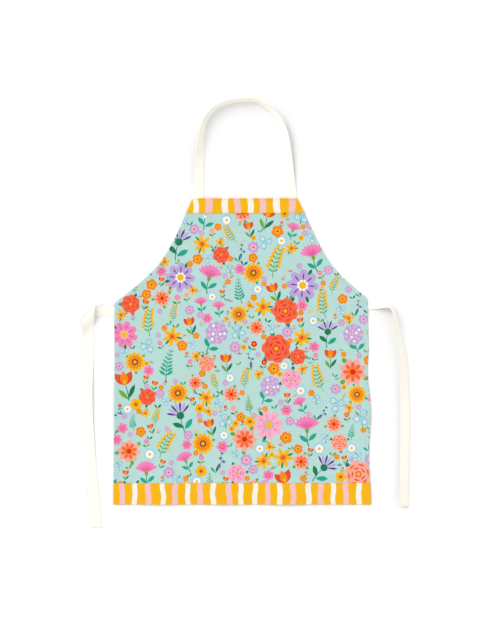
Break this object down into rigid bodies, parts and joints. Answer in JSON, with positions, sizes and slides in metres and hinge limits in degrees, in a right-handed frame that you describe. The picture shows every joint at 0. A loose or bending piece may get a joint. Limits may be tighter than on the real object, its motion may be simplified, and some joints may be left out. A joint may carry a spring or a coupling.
{
  "type": "bib apron",
  "caption": "Adult bib apron laid out flat: printed cotton body, striped borders folded round the bib and hem, a tape neck loop and two tape waist ties.",
  "frame": {"origin": "On the underside of the body, on the skirt's centre line, level with the waist ties, on the surface that the apron lies on", "axes": "+X across the skirt to the right as seen from the face, +Y up to the neck strap, +Z out of the printed face"},
  "size_m": [0.9112, 1.191, 0.0292],
  "materials": {
    "printed_cotton": "matte printed cotton canvas",
    "striped_cotton": "matte printed cotton canvas",
    "cotton_tape": "matte woven cotton tape"
  },
  "bodies": {
    "root": {"front_panel": "printed_cotton", "bib_band": "striped_cotton", "hem_band": "striped_cotton", "neck_strap": "cotton_tape", "waist_tie_left": "cotton_tape", "waist_tie_right": "cotton_tape"}
  },
  "joints": []
}
